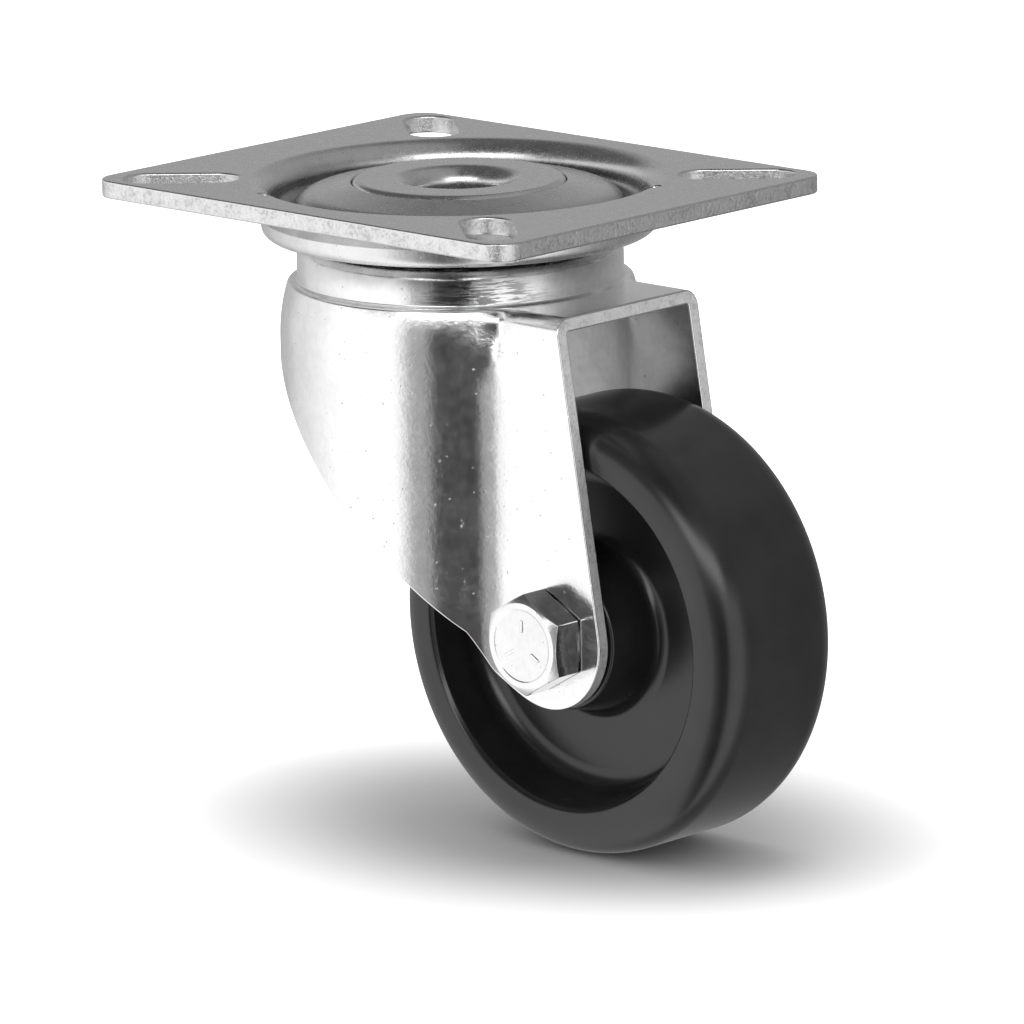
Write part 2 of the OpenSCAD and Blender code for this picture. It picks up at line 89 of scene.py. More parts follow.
# Crown, neck and shoulder of the fork, and where its flat shoulder starts above and below
CROWN_HOLE_R, CROWN_Z = 12.5, -10.85
NECK_R, SHOULDER_Z = 29.1, -18
CROWN_UNDER_Z, SHOULDER_UNDER_Z = CROWN_Z - SHEET_T, SHOULDER_Z - SHEET_T
FLAT_IN_R, FLAT_UNDER_R = 29.65, 28.1

# Axle and floor
AXLE_X, AXLE_Z = 36.584, -75.5
FLOOR_Z = -115.5

# Round shell and flat ears of the fork
SHELL_R, SHELL_Z = 32.3, -28
EAR_Y, EAR_R, HOLE_R = 18.25, 12.6, 5.2
BEND_R, BEND_IN_R = 3, 0.5
LEDGE_ROUND, LEDGE_IN_ROUND = 0.8, 0.5
SHELF_X = AXLE_X + 3.4
KNEE = (AXLE_X - 14.4, AXLE_Z)
SLOPE, SKIRT_Z, SKIRT_ROUND = 44.4, -28, 14
EDGE_ROUND = 0.3

# Hollow corner where the shell runs into the ear: centre, radius and arc, as the wall's plan has it
CORNER_R = 2
CORNER = (AXLE_X - 8.9, EAR_Y + CORNER_R)
CORNER_TURN = atan2(CORNER[0], CORNER[1])
CORNER_AT = atan2(CORNER[1], CORNER[0])
CORNER_LENGTH = CORNER_R * CORNER_TURN

# The bend over the ear turns into the shell's swell from this far before the corner to this far past it
BLEND_BEFORE, BLEND_AFTER = 2, 3

# The corner is filled softly: wide, but narrow round the ear's end, and fading out under the shelf
WIDE_R, NARROW_R = 20, 6
WIDE_ABOVE_Z, WIDE_RISE = -90, 9
FILL_FADE = 9

# Steps of the fork's cut edge: shelf front, its bend, ear front, ear round, heel and the shell's edge
SHELF_STEPS, BEND_STEPS, FRONT_STEPS, EAR_STEPS, HEEL_STEPS, REAR_STEPS = 12, 8, 24, 60, 8, 130

# Grid of the fork's wall: columns of shell and ear, rows of bend, swell and below, and the step of the last
COLUMNS, EAR_COLUMNS = 104, 8
BEND_ROWS, SWELL_ROWS, LOW_ROWS, LOW_STEP = 10, 14, 13, 4
# Least distance of the grid above the cut edge, and a v that is past every edge
GRID_CLEAR, PAST_EDGE = 0.8, 1000

# Sleeve, and wheel: hub, web, rim and tread
SLEEVE_IN_R, SLEEVE_R, SLEEVE_Y = 5.1, 7.5, 15.75
BORE_R, HUB_R, HUB_ROOT_R, HUB_Y = 7.56, 13, 15.2, 15.25
WEB_R, WEB_Y = 28.8, 5
RIM_IN_R, RIM_BEVEL_R, RIM_BEVEL_Y = 31, 0.7, 0.8
WHEEL_R, TREAD_Y = 40, 15

# Hexagon of the bolt's head and of the nut, with its bevels
HEX_AF, HEX_FACE_R, HEX_BEVEL = 16, 7.6, 30
HEX_R = HEX_AF / sqrt(3)

# Bolt: its head with a shallow dish in the face, its shank and its threaded end
BOLT_R, BOLT_END, BOLT_BEVEL = 5, 31.75, 1
HEAD_Y, HEAD_BACK_Y = -EAR_Y - 6.4, -EAR_Y - 0.4
DISH_R, DISH_RIM, DISH_DEPTH = 6.3, 0.3, 0.15
SHANK_FROM, THREAD_FROM = -17, 17
PITCH, THREAD_DEPTH, STEPS_A_PITCH = 1.5, 0.75, 10

# Raised ticks on the bolt's face: their number, ends, half width, and where their foot is sunk in
TICKS, TICK_FROM, TICK_TO, TICK_HALF = 3, 2.4, 4.6, 0.3
TICK_FOOT_Y = HEAD_Y + 0.2

# Lock nut with its collar, and the nylon ring in its pocket
NUT_BORE_R, NUT_HEX_Y = 5.03, EAR_Y + 7
COLLAR_R, COLLAR_Y = 7.4, EAR_Y + 10
POCKET_R, POCKET_FROM, POCKET_TO = 6.53, 25.85, 28.05
INSERT_GAP = 0.03

# Corners in a full turn of each round form
PLATE_RING, FORK_RING, RIVET_RING, RACE_RING = 240, 192, 192, 144
WHEEL_RING, SLEEVE_RING, INSERT_RING, HOLE_RING = 256, 128, 96, 72
# Greatest turn between two corners of a rounding, and steps of a sheet's rounded edge
FINE, WHEEL_FINE = radians(9), radians(6)
EDGE_CURVE_STEPS = 3
# Corners of a mesh nearer than NEAR are one corner, looked for by cells. JOIN is the same for flat fills
NEAR, CELL, JOIN = 0.00005, 0.001, 1e-6

# The camera in metres and degrees, fitted to the plate's corners and the wheel's outline in the photograph
CAMERA_AT = (1.10179, -1.15045, 0.30295)
CAMERA_AZIMUTH, CAMERA_ELEVATION, CAMERA_ROLL = 43.46, 12.88, -0.98
CAMERA_FAR = 50
FOCAL_PIXELS, IMAGE_PIXELS, SENSOR_MM = 9139.94, 1024, 36

# What metal sees round it low down: degrees from the camera's side, to the right, and brightness
STRIPS = (
    (-180, 0.42), (-150, 0.5), (-125, 0.75), (-105, 0.9), (-92, 1.05), (-80, 1.15), (-44, 1.15), (-38, 0.9),
    (-34, 0.38), (-22, 0.38), (-19, 0.055), (7, 0.055), (13, 1.0), (30, 1.1), (45, 1.1), (54, 1.0), (66, 0.5),
    (76, 0.34), (92, 0.25), (110, 0.24), (150, 0.32), (180, 0.42),
)
# The same half way up, where a soft lamp stands in front
UPPER_STRIPS = (
    (-180, 0.3), (-166, 0.3), (-150, 0.1), (-100, 0.1), (-50, 0.2), (-28, 3.6), (18, 3.6), (40, 0.2),
    (90, 0.22), (140, 0.3), (180, 0.3),
)
# The same high up
ROOF_STRIPS = ((-180, 0.1), (-10, 0.08), (25, 0.3), (150, 0.3), (180, 0.1))
# Heights of a direction, as its sine, between which one table gives way to the next
UPPER_FROM, ROOF_FROM = (0.28, 0.4), (0.52, 0.64)

# Light that everything but polished metal gets from all round, and a weak lamp above, in metres and watts
SOFT_LIGHT = 1.3
LAMP_AT, LAMP_SIZE, LAMP_POWER = (0.1, 0.1, 1.0), (0.5, 0.4), 3

# Half the floor's side in metres, and its glow, which makes it white away from the castor
FLOOR_HALF = 4
FLOOR_GLOW, GLOW_FROM, GLOW_FULL = 0.6, 45, 170
# The floor is darker in an oval round the wheel, which deepens the castor's own soft shadow
SHADE, SHADE_AT, SHADE_REACH = 0.5, (24, 4, 0), (88, 62, 1)
SHADE_END, SHADE_FULL = 1.02, 0.35


class Field:
    """A socket of a shader graph. Arithmetic on it adds Math nodes."""

    def __init__(self, graph, socket):
        self.graph = graph
        self.socket = socket

    def output(self, name):
        """Another output of the same node."""
        return Field(self.graph, self.socket.node.outputs[name])

    def __add__(self, other):
        return self.graph.math("ADD", self, other)

    __radd__ = __add__

    def __sub__(self, other):
        return self.graph.math("SUBTRACT", self, other)

    def __rsub__(self, other):
        return self.graph.math("SUBTRACT", other, self)

    def __mul__(self, other):
        return self.graph.math("MULTIPLY", self, other)

    __rmul__ = __mul__

    def __truediv__(self, other):
        return self.graph.math("DIVIDE", self, other)


class Graph:
    """The shader nodes of a material or of the world."""

    def __init__(self, owner):
        owner.use_nodes = True
        self.tree = owner.node_tree
        self.tree.nodes.clear()

    def node(self, kind, settings, inputs, output=0):
        """Adds a node: settings first, then the value or link of each socket. Gives one of its outputs."""
        made = self.tree.nodes.new(kind)
        for name, value in settings.items():
            if name == "stops":
                self.set_stops(made.color_ramp, value)
            else:
                setattr(made, name, value)
        for name, value in inputs.items():
            if isinstance(value, Field):
                self.tree.links.new(value.socket, made.inputs[name])
            else:
                made.inputs[name].default_value = value
        return Field(self, made.outputs[output]) if len(made.outputs) else None

    def set_stops(self, ramp, stops):
        ramp.interpolation = "EASE"
        while len(ramp.elements) < len(stops):
            ramp.elements.new(1)
        for element, (place, level) in zip(ramp.elements, stops):
            element.position = place
            element.color = grey(level)

    def math(self, operation, *values):
        return self.node("ShaderNodeMath", {"operation": operation}, dict(enumerate(values)))

    def vector(self, operation, *values, output=0):
        """Vector Math. Its output 1 is a number: the length, or the product of two vectors."""
        return self.node("ShaderNodeVectorMath", {"operation": operation}, dict(enumerate(values)), output)

    def part(self, vector, axis):
        """One part of a vector, by its letter."""
        return self.node("ShaderNodeSeparateXYZ", {}, {0: vector}, axis)

    def ramp(self, value, stops):
        """A grey level that follows stops of (place, level)."""
        return self.node("ShaderNodeValToRGB", {"stops": stops}, {"Fac": value})

    def mix(self, factor, first, second):
        """Colour between two others."""
        return self.node("ShaderNodeMix", {"data_type": "RGBA"}, {0: factor, 6: first, 7: second}, 2)

    def step(self, value, low, high):
        """0 at low, 1 at high, and a smooth change between them."""
        return self.node(
            "ShaderNodeMapRange",
            {"interpolation_type": "SMOOTHSTEP"},
            {"Value": value, "From Min": low, "From Max": high},
        )

    def noise(self, place, size, detail=2, rough=0.5):
        """Soft noise whose blotches are about size millimetres wide."""
        return self.node(
            "ShaderNodeTexNoise",
            {},
            {"Vector": place, "Scale": 1 / size, "Detail": detail, "Roughness": rough},
        )

    def bump(self, height, depth, strength=1):
        """A normal that follows a height, of which 1 stands for that depth in millimetres."""
        values = {"Height": height, "Distance": depth * MM, "Strength": strength}
        return self.node("ShaderNodeBump", {}, values)

    def place(self):
        """Where on the object a point is, in millimetres."""
        here = self.node("ShaderNodeTexCoord", {}, {}, "Object")
        return self.vector("MULTIPLY", here, (1 / MM, 1 / MM, 1 / MM))

    def straight_rays(self):
        """1 for what the camera sees, also through something clear."""
        path = self.node("ShaderNodeLightPath", {}, {}, "Is Camera Ray")
        return path + path.output("Is Transmission Ray")


def grey(level):
    return (level, level, level, 1)


def surface(graph, **inputs):
    """Ends a material's graph in one Principled shader."""
    named = {name.replace("_", " "): value for name, value in inputs.items()}
    shader = graph.node("ShaderNodeBsdfPrincipled", {}, named)
    graph.node("ShaderNodeOutputMaterial", {}, {"Surface": shader})


def finish(name):
    material = bpy.data.materials.new(name)
    return material, Graph(material)


def zinc(name, level, rough, blotch=0.05, relief=1.0, wear_and_shade=None):
    """Bright zinc plating: orange peel, soft blotches, nicks and short scratches. Wear and painted shade
    darken it.
    """
    material, graph = finish(name)
    place = graph.place()
    peel = graph.noise(place, size=0.7, detail=3, rough=0.6)
    cloud = graph.noise(place, size=7, detail=3)
    fine = graph.noise(place, size=1.6, detail=3, rough=0.6)
    nicks = graph.step(graph.noise(place, size=0.8, detail=1), low=0.73, high=0.8)
    rubbed = graph.noise(graph.vector("MULTIPLY", place, (1, 1, 7)), size=2.4, detail=3, rough=0.7)
    colour = graph.ramp(cloud * 0.5 + fine * 0.5, [(0.3, level - blotch), (0.7, level + blotch)])
    colour = graph.mix(nicks * 0.5, colour, grey(level * 0.35))
    # Wear and painted shade, where a piece has them, darken the colour
    if wear_and_shade:
        colour = graph.mix(wear_and_shade(graph, place), colour, grey(level * 0.22))
    height = peel * relief + cloud * 3 + nicks * -1.5 + rubbed * 0.25
    surface(
        graph,
        Base_Color=colour,
        Metallic=1.0,
        Roughness=rough + (cloud - 0.5) * 0.12 + (fine - 0.5) * 0.12 + (rubbed - 0.5) * 0.1,
        Normal=graph.bump(height, depth=0.022),
    )
    return material


def channel_painted_shade(graph, place):
    """Painted shade, as a share, down in the plate's channel but not under it, in soft patches."""
    level = graph.part(place, "Z")
    patches = graph.noise(place, size=5, detail=3)
    # Painted shade: the colour is darkened down in the channel, where shade falls
    down = graph.step(level, low=-1.8, high=-4.2)
    above_metal = graph.step(level, low=CHANNEL_Z - 0.1, high=CHANNEL_Z + 0.1)
    return down * above_metal * (0.62 + (patches - 0.5) * 0.5)


def neck_scuffs_and_shade(graph, place):
    """Fine scuffs that run round the front of the neck, and painted shade at its top under the bearing above
    it, as a share.
    """
    front_turn, side_turn = -0.66, -0.8
    x, y, z = (graph.part(place, axis) for axis in "XYZ")
    turn = graph.math("ARCTAN2", y, x)
    round_neck = graph.node("ShaderNodeCombineXYZ", {}, {"X": turn * 5, "Y": 0.0, "Z": z * 2.2})
    streaks = graph.noise(round_neck, size=1, detail=3, rough=0.6)
    front = graph.step(graph.math("ABSOLUTE", turn - front_turn), low=0.5, high=0.12)
    above = graph.step(z, low=SHOULDER_Z + 0.1, high=SHOULDER_Z + 0.6)
    below = graph.step(z, low=CROWN_Z + 0.35, high=CROWN_Z - 0.65)
    scuffs = front * (above * below) * graph.step(streaks, low=0.46, high=0.54) * 0.9
    side = graph.step(graph.math("ABSOLUTE", turn - side_turn), low=1.3, high=0.6)
    # Painted shade: darker towards the top of the neck, under the plate's bead, strongest on one side and in
    # soft patches
    near_bearing = graph.step(z, low=SHOULDER_Z + 1.6, high=CROWN_Z - 1.35)
    painted_shade = near_bearing * side * (0.4 + graph.noise(place, size=3) * 0.6)
    return graph.math("MAXIMUM", scuffs, painted_shade)


def bolt_sides_painted_shade(graph, place):
    """Painted shade on the sides of the bolt's head, which makes them darker than its face, as a share."""
    return graph.step(graph.part(place, "Y"), low=HEAD_Y + 0.03, high=HEAD_Y + 0.55) * 0.4


def sheared_steel(name, level, bright):
    """Cut edge of plated sheet: coarse, torn across its thickness and partly bright."""
    material, graph = finish(name)
    place = graph.place()
    torn = graph.noise(place, size=0.6, detail=3, rough=0.7)
    patches = graph.noise(place, size=2.2)
    stops = [(0.36, level * 0.72), (0.5, level), (0.62, level * 1.1)]
    surface(
        graph,
        Base_Color=graph.ramp(torn * 0.6 + patches * 0.4, stops),
        Metallic=bright,
        Roughness=0.27 + torn * 0.14,
        Normal=graph.bump(torn + patches * 0.6, depth=0.16),
    )
    return material


def moulded_plastic(name, dark, light, rough):
    """Satin plastic with a faint moulding grain."""
    material, graph = finish(name)
    place = graph.place()
    cloud = graph.noise(place, size=9, detail=3)
    grain = graph.noise(place, size=0.35)
    surface(
        graph,
        Base_Color=graph.ramp(cloud, [(0.3, dark), (0.7, light)]),
        Roughness=rough + (cloud - 0.5) * 0.1,
        Normal=graph.bump(grain, depth=0.008, strength=0.5),
        Specular_IOR_Level=0.6,
    )
    return material


def camera():
    azimuth, elevation, roll = map(radians, (CAMERA_AZIMUTH, CAMERA_ELEVATION, CAMERA_ROLL))
    back = Vector((sin(azimuth) * cos(elevation), -cos(azimuth) * cos(elevation), sin(elevation)))
    level_right = Vector((cos(azimuth), sin(azimuth), 0))
    level_up = back.cross(level_right)
    right = level_right * cos(roll) + level_up * sin(roll)
    up = level_up * cos(roll) - level_right * sin(roll)
    data = bpy.data.cameras.new("camera")
    data.sensor_width = SENSOR_MM
    data.lens = FOCAL_PIXELS * SENSOR_MM / IMAGE_PIXELS
    data.clip_end = CAMERA_FAR
    made = bpy.data.objects.new("camera", data)
    made.matrix_world = Matrix.Translation(CAMERA_AT) @ Matrix((right, up, back)).transposed().to_4x4()
    bpy.context.scene.collection.objects.link(made)
    bpy.context.scene.camera = made


def studio():
    """A plain white surround, of which polished metal sees bright and darker strips."""
    world = bpy.data.worlds.new("studio")
    # What the world shows differs by the kind of ray, which a sampling map of it can't hold
    world.cycles.sampling_method = "NONE"
    bpy.context.scene.world = world
    graph = Graph(world)
    direction = graph.node("ShaderNodeTexCoord", {}, {}, "Generated")
    toward = radians(CAMERA_AZIMUTH - 90)
    ahead = graph.vector("DOT_PRODUCT", direction, (cos(toward), sin(toward), 0), output=1)
    aside = graph.vector("DOT_PRODUCT", direction, (-sin(toward), cos(toward), 0), output=1)
    height = graph.part(direction, "Z")
    turn = graph.math("ARCTAN2", aside, ahead) / (2 * pi) + 0.5
    low, upper, roof = (
        graph.ramp(turn, [(0.5 + angle / 360, level) for angle, level in strips])
        for strips in (STRIPS, UPPER_STRIPS, ROOF_STRIPS)
    )
    seen = graph.mix(graph.step(height, *UPPER_FROM), low, upper)
    seen = graph.mix(graph.step(height, *ROOF_FROM), seen, roof)
    glossy = graph.node("ShaderNodeLightPath", {}, {}, "Is Glossy Ray")
    light = graph.mix(glossy, grey(SOFT_LIGHT), seen)
    light = graph.mix(graph.straight_rays(), light, grey(1))
    background = graph.node("ShaderNodeBackground", {}, {"Color": light, "Strength": 1})
    graph.node("ShaderNodeOutputWorld", {}, {"Surface": background})


def overhead_lamp():
    data = bpy.data.lights.new("overhead", "AREA")
    data.shape = "RECTANGLE"
    data.size, data.size_y = LAMP_SIZE
    data.energy = LAMP_POWER
    made = bpy.data.objects.new("overhead", data)
    made.location = LAMP_AT
    made.rotation_euler = (-made.location).to_track_quat("-Z", "Y").to_euler()
    bpy.context.scene.collection.objects.link(made)
    made.visible_glossy = False


def white_floor():
    """White floor with the castor's soft shadow, clear from below and not seen by polished metal."""
    corners = [(s * FLOOR_HALF, t * FLOOR_HALF, 0) for s, t in ((-1, -1), (1, -1), (1, 1), (-1, 1))]
    made = new_piece("floor", corners, [(0, 1, 2, 3)], 1)
    made.location.z = FLOOR_Z * MM
    material, graph = finish("white_floor")
    place = graph.place()
    tone = graph.ramp(graph.noise(place, size=400, detail=1), [(0.3, 0.84), (0.7, 0.86)])
    reach = graph.vector("DIVIDE", graph.vector("SUBTRACT", place, SHADE_AT), SHADE_REACH)
    shade = graph.step(graph.vector("LENGTH", reach, output=1), SHADE_END, SHADE_FULL)
    tone = graph.mix(shade * SHADE, tone, grey(0))
    matt = graph.node("ShaderNodeBsdfDiffuse", {}, {"Color": tone})
    away = graph.vector("LENGTH", graph.vector("SUBTRACT", place, (AXLE_X, 0, 0)), output=1)
    glowing = graph.straight_rays() * graph.step(away, GLOW_FROM, GLOW_FULL)
    white = graph.mix(glowing, grey(0), grey(FLOOR_GLOW))
    glow = graph.node("ShaderNodeEmission", {}, {"Color": white, "Strength": 1})
    lit = graph.node("ShaderNodeAddShader", {}, {0: matt, 1: glow})
    clear = graph.node("ShaderNodeBsdfTransparent", {}, {})
    below = graph.node("ShaderNodeNewGeometry", {}, {}, "Backfacing")
    shown = graph.node("ShaderNodeMixShader", {}, {0: below, 1: lit, 2: clear})
    graph.node("ShaderNodeOutputMaterial", {}, {"Surface": shown})
    made.data.materials.append(material)
    made.visible_glossy = False


def new_piece(name, corners, faces, scale=MM):
    mesh = bpy.data.meshes.new(name)
    mesh.from_pydata([Vector(c) * scale for c in corners], [], faces)
    made = bpy.data.objects.new(name, mesh)
    bpy.context.scene.collection.objects.link(made)
    return made


class Skin:
    """Corners, normals and faces of one piece, in millimetres. Corners at the same place are joined."""

    def __init__(self):
        self.corners = []
        self.normals = []
        self.faces = []
        self.found = {}
        self.soft = set()
        self.finishes = []
        self.finish = 0

    def point(self, place, out, soft=False):
        """Adds a corner. A soft one takes its normal from the faces round it."""
        cells = list(product(*[{floor((c - NEAR) / CELL), floor((c + NEAR) / CELL)} for c in place]))
        index = next((self.found[cell] for cell in cells if cell in self.found), None)
        if index is None:
            index = len(self.corners)
            self.corners.append(Vector(place))
            self.normals.append(Vector((0, 0, 0)))
            self.found.update((cell, index) for cell in cells)
        self.normals[index] += Vector(out).normalized()
        if soft:
            self.soft.add(index)
        return index

    def face(self, *points):
        kept = list(dict.fromkeys(points))
        if len(kept) > 2:
            self.faces.append(kept)
            self.finishes.append(self.finish)

    def band(self, first, second):
        """Joins two rows of corners."""
        for a, b, c, d in zip(first, first[1:], second[1:], second):
            self.face(a, b, c, d)

    def closed_bands(self, rows):
        """Joins each row of corners to the next, and the last one to the first."""
        for a, b in zip(rows, rows[1:] + rows[:1]):
            self.band(a, b)

    def mirror(self):
        """Adds the same again on the other side of Y = 0."""
        flip = Vector((1, -1, 1))
        other = [self.point(c * flip, n * flip) for c, n in list(zip(self.corners, self.normals))]
        self.faces += [[other[i] for i in face] for face in self.faces]
        self.finishes += self.finishes

    def piece(self, name, body, node, slot, *materials):
        """Makes the object. Each face is turned to look along its corners' normals."""
        faces = []
        for face in self.faces:
            level = normal(*[self.corners[i] for i in face[:4]])
            out = sum((self.normals[i] for i in face), Vector((0, 0, 0)))
            faces.append(face if level.dot(out) > -0.01 else face[::-1])
        made = new_piece(name, self.corners, faces)
        mesh = made.data
        mesh.shade_smooth()
        own = [v.normal.copy() for v in mesh.vertices]
        exact = [own[i] if i in self.soft else n.normalized() for i, n in enumerate(self.normals)]
        mesh.normals_split_custom_set_from_vertices(exact)
        for material in materials:
            mesh.materials.append(material)
        mesh.polygons.foreach_set("material_index", self.finishes)
        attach(made, body)
        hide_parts(node)


def rounded(corners, closed=True, fine=FINE):
    """Outline of (u, w, rounding) corners as points (u, w) with normals. The outside is on its right."""
    path = []
    count = len(corners)
    for k, (u, w, r) in enumerate(corners):
        here = Vector((u, w))
        before = Vector(corners[k - 1][:2])
        after = Vector(corners[(k + 1) % count][:2])
        ahead = (after - here).normalized()
        come = (here - before).normalized()
        if not closed and k == 0:
            come = ahead
        if not closed and k == count - 1:
            ahead = come
        turn = atan2(come.cross(ahead), come.dot(ahead))
        out = Vector((come.y, -come.x))
        side = 1 if turn > 0 else -1
        reach = r * tan(abs(turn) / 2)
        centre = here - come * reach - out * r * side
        steps = max(1, ceil(abs(turn) / fine))
        for i in range(steps + 1):
            n = out.copy()
            n.rotate(Matrix.Rotation(turn * i / steps, 2))
            path.append((*(centre + n * r * side), *n))
            if r == 0:
                break
    if closed:
        path.append(path[0])
    return path


def refined(path, step):
    """The same path with its long parts cut into shorter ones."""
    cut = [path[0]]
    for a, b in zip(path, path[1:]):
        parts = max(1, ceil(hypot(b[0] - a[0], b[1] - a[1]) / step))
        cut += [tuple(p + (q - p) * i / parts for p, q in zip(a, b)) for i in range(1, parts + 1)]
    return cut


def turned(u, w, turn):
    """A point or direction in two dimensions, turned about the origin."""
    return u * cos(turn) - w * sin(turn), u * sin(turn) + w * cos(turn)


def round_swivel(u, turn, w):
    return Vector((u * cos(turn), u * sin(turn), w))


def round_axle(u, turn, w):
    return Vector((AXLE_X + u * cos(turn), w, AXLE_Z + u * sin(turn)))


def smooth(t):
    """0 up to 0, 1 from 1 on, and a soft rise between."""
    t = max(0, min(1, t))
    return t * t * (3 - 2 * t)


def circle_turns(count):
    return [2 * pi * i / count for i in range(count)]


def revolve(skin, path, place, turns, change=None):
    """Turns a path of (u, w) points round an axis. Change may move a point along the axis."""
    rows = []
    for turn in turns:
        row = []
        for u, w, nu, nw in path:
            moved = change(u, turn, w) if change else w
            out = place(nu, turn, nw) - place(0, turn, 0)
            row.append(skin.point(place(u, turn, moved), out, moved != w))
        rows.append(row)
    skin.closed_bands(rows)


def fill(skin, loops, grid, place):
    """Fills the area in the first loop and outside the others, in two dimensions, then puts it in place."""
    points = []
    edges = []
    areas = []
    for loop in loops:
        start = len(points)
        points += [Vector(p) for p in loop]
        ring = list(range(start, len(points)))
        sides = list(zip(ring, ring[1:] + ring[:1]))
        edges += sides
        area = sum(points[a].cross(points[b]) for a, b in sides)
        areas.append(ring if area > 0 else ring[::-1])
    points += [Vector(p) for p in grid]
    # Mode 0 keeps every triangle, and origins lists the areas that each one is in
    made, _, faces, _, _, origins = delaunay_2d_cdt(points, edges, areas, 0, JOIN)
    seats = {}
    for face, origin in zip(faces, origins):
        if list(origin) == [0]:
            for i in face:
                if i not in seats:
                    seats[i] = skin.point(*place(*made[i]))
            skin.face(*[seats[i] for i in face])


def edge(skin, rim, rounding, closed=False):
    """Closes the cut edge of a sheet. The rim pairs its two sides' (corner, corner set back, normal)."""
    rows = []
    count = len(rim)
    steps = EDGE_CURVE_STEPS
    for k, (first, second) in enumerate(rim):
        after = rim[(k + 1) % count if closed else min(k + 1, count - 1)]
        before = rim[k - 1 if closed else max(k - 1, 0)]
        along = after[0][0] - before[0][0]
        across = second[0] - first[0]
        out = along.cross(across).normalized()
        if out.dot(first[0] - first[1]) < 0:
            out = -out
        row = []
        for (corner, back, level), way in ((first, across.normalized()), (second, -across.normalized())):
            wall = corner + way * rounding
            part = []
            for i in range(steps + 1):
                t = i / steps
                at = back * (1 - t) ** 2 + corner * 2 * t * (1 - t) + wall * t * t
                part.append(skin.point(at, level.normalized() * (1 - t) + out * t))
            row += part if not row else part[::-1]
        rows.append(row)
    for a, b in zip(rows, rows[1:] + (rows[:1] if closed else [])):
        skin.band(a[: steps + 1], b[: steps + 1])
        skin.band(a[steps + 1 :], b[steps + 1 :])
        skin.finish = 1
        skin.face(a[steps], b[steps], b[steps + 1], a[steps + 1])
        skin.finish = 0


def track(at, level, way):
    """Corners of a ball track. Way is 1 in an underside, run through outward, or -1 in a top, inward."""
    half = TRACK_W / 2
    row = [(at - half, level, 0.1), (at, level + way * TRACK_APEX, TRACK_ROUND), (at + half, level, 0.1)]
    return row[::way]


def top_plate(*materials):
    skin = Skin()
    fans = product(COIN_ANGLES, range(-COIN_TURNS, COIN_TURNS + 1))
    near_coins = [radians(angle + i * COIN_STEP) for angle, i in fans]
    turns = sorted(set(circle_turns(PLATE_RING) + near_coins))
    path = rounded(
        [
            (FLAT_FROM_R, 0, 0),
            (CHANNEL_R, 0, 4),
            (CHANNEL_R, CHANNEL_Z, 2.2),
            (CHANNEL_IN_R, CHANNEL_Z, 2.2),
            (CHANNEL_IN_R, CENTRE_EDGE_Z - CENTRE_BEVEL, 0.8),
            (CHANNEL_IN_R - CENTRE_BEVEL, CENTRE_EDGE_Z, 5.6),
            (SEAT_R, CENTRE_Z, 0.3),
            (SEAT_R, SEAT_Z, 0.1),
            (RIVET_HOLE_R, SEAT_Z, 0.1),
            (RIVET_HOLE_R, CENTRE_UNDER_Z, 0.2),
            *track(UPPER_PITCH_R, CENTRE_UNDER_Z, 1),
            (BEAD_IN_R, CENTRE_UNDER_Z, 0.3),
            (BEAD_IN_R, BEAD_Z, 1.8),
            (BEAD_R, BEAD_Z, 2),
            (BEAD_R, -PLATE_T, 1.5),
            (FLAT_FROM_R, -PLATE_T, 0),
        ],
        closed=False,
    )
    # The path's first points are those of the channel's rolled edge, which the coined marks need closer
    rolled = 12
    revolve(skin, refined(path[:rolled], 0.25) + path[rolled:], round_swivel, turns, change=coined)
    x, y = PLATE_L / 2, PLATE_W / 2
    outline = rounded([(s * x, t * y, PLATE_CORNER_R) for s, t in ((-1, -1), (1, -1), (1, 1), (-1, 1))])[:-1]
    border = flat_rim(skin, outline, PLATE_EDGE_ROUND)
    slots = []
    for s, t in ((1, 1), (-1, 1), (-1, -1), (1, -1)):
        slots.append(flat_rim(skin, slot_outline(atan2(t * SLOT_AT[1], s * SLOT_AT[0])), SLOT_EDGE_ROUND))
    ring = [tuple(round_swivel(FLAT_FROM_R, turn, 0).xy) for turn in turns]
    for z, up in ((0, 1), (-PLATE_T, -1)):
        fill(skin, [border, ring, *slots], [], lambda u, w: ((u, w, z), (0, 0, up)))
    skin.piece("mounting_plate", "plate", "top_plate", "plate_zinc", *materials)


def coined(u, turn, w):
    """Presses the two small round marks into the rolled edge of the channel."""
    if w < ROLLED_Z:
        return w
    for angle in COIN_ANGLES:
        middle = Vector((cos(radians(angle)), sin(radians(angle)))) * COIN_AT
        away = (Vector((u * cos(turn), u * sin(turn))) - middle).length
        if away < COIN_REACH:
            return min(w, COIN_Z + max(0, away - COIN_R + COIN_WALL) * COIN_SLOPE)
    return w


def slot_outline(turn):
    """A slot's outline, with normals that point into the slot, away from the metal."""
    r = SLOT_W / 2
    points = []
    for middle, start in ((SLOT_FAR - r, -90), (SLOT_NEAR + r, 90)):
        for i in range(SLOT_END_STEPS + 1):
            a = radians(start + 180 * i / SLOT_END_STEPS)
            points.append((middle + r * cos(a), r * sin(a), -cos(a), -sin(a)))
    return [(*turned(u, w, turn), *turned(nu, nw, turn)) for u, w, nu, nw in points]


def flat_rim(skin, outline, rounding):
    """Rounds the plate's cut edge along an outline, and gives the outline of the flat that is left."""
    rim = []
    drop = Vector((0, 0, -PLATE_T))
    for u, w, nu, nw in outline:
        back = Vector((u - nu * rounding, w - nw * rounding, 0))
        corner = Vector((u, w, 0))
        rim.append(((corner, back, Vector((0, 0, 1))), (corner + drop, back + drop, Vector((0, 0, -1)))))
    edge(skin, rim, rounding, closed=True)
    return [tuple(pair[0][1].xy) for pair in rim]


